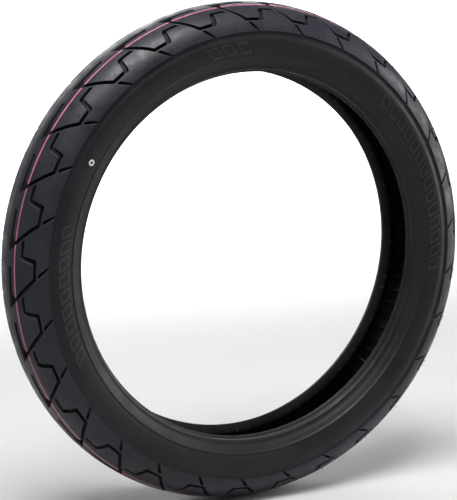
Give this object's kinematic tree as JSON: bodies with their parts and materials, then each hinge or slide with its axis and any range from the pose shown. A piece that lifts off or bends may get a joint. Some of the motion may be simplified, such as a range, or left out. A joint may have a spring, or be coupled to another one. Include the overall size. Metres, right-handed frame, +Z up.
{
  "type": "motorcycle tyre",
  "caption": "Narrow motorcycle tyre with a round crown, slanted and zigzag tread grooves, smooth sidewalls, rim ribs and open wire beads.",
  "frame": {"origin": "centre of the tyre, on the wheel axis at mid width", "axes": "+Y along the wheel axis towards the left side, +Z up, +X forward in the rolling plane"},
  "size_m": [0.619, 0.1036, 0.619],
  "materials": {
    "tread_rubber": "satin moulded rubber",
    "sidewall_rubber": "satin moulded rubber",
    "liner_rubber": "matt rubber",
    "core_rubber": "matt rubber",
    "ply_cord": "rubberised nylon cord",
    "bead_steel": "bronze plated steel wire",
    "stripe_paint": "thin matt paint",
    "mark_paint": "thin matt paint"
  },
  "bodies": {
    "root": {"tread_cap": "tread_rubber", "tread_base": "core_rubber", "breaker_ply_outer": "ply_cord", "breaker_ply_inner": "ply_cord", "breaker_cushion": "core_rubber", "body_ply_outer": "ply_cord", "body_ply_inner": "ply_cord", "inner_liner": "liner_rubber", "shoulder_wedge_left": "core_rubber", "shoulder_wedge_right": "core_rubber", "sidewall_left": "sidewall_rubber", "sidewall_right": "sidewall_rubber", "chafer_left": "sidewall_rubber", "chafer_right": "sidewall_rubber", "bead_filler_left": "core_rubber", "bead_filler_right": "core_rubber", "bead_wrap_left": "ply_cord", "bead_wrap_right": "ply_cord", "bead_bundle_left": "core_rubber", "bead_bundle_right": "core_rubber", "bead_wires_left": "bead_steel", "bead_wires_right": "bead_steel", "tread_stripe": "stripe_paint", "balance_mark": "mark_paint"}
  },
  "joints": []
}
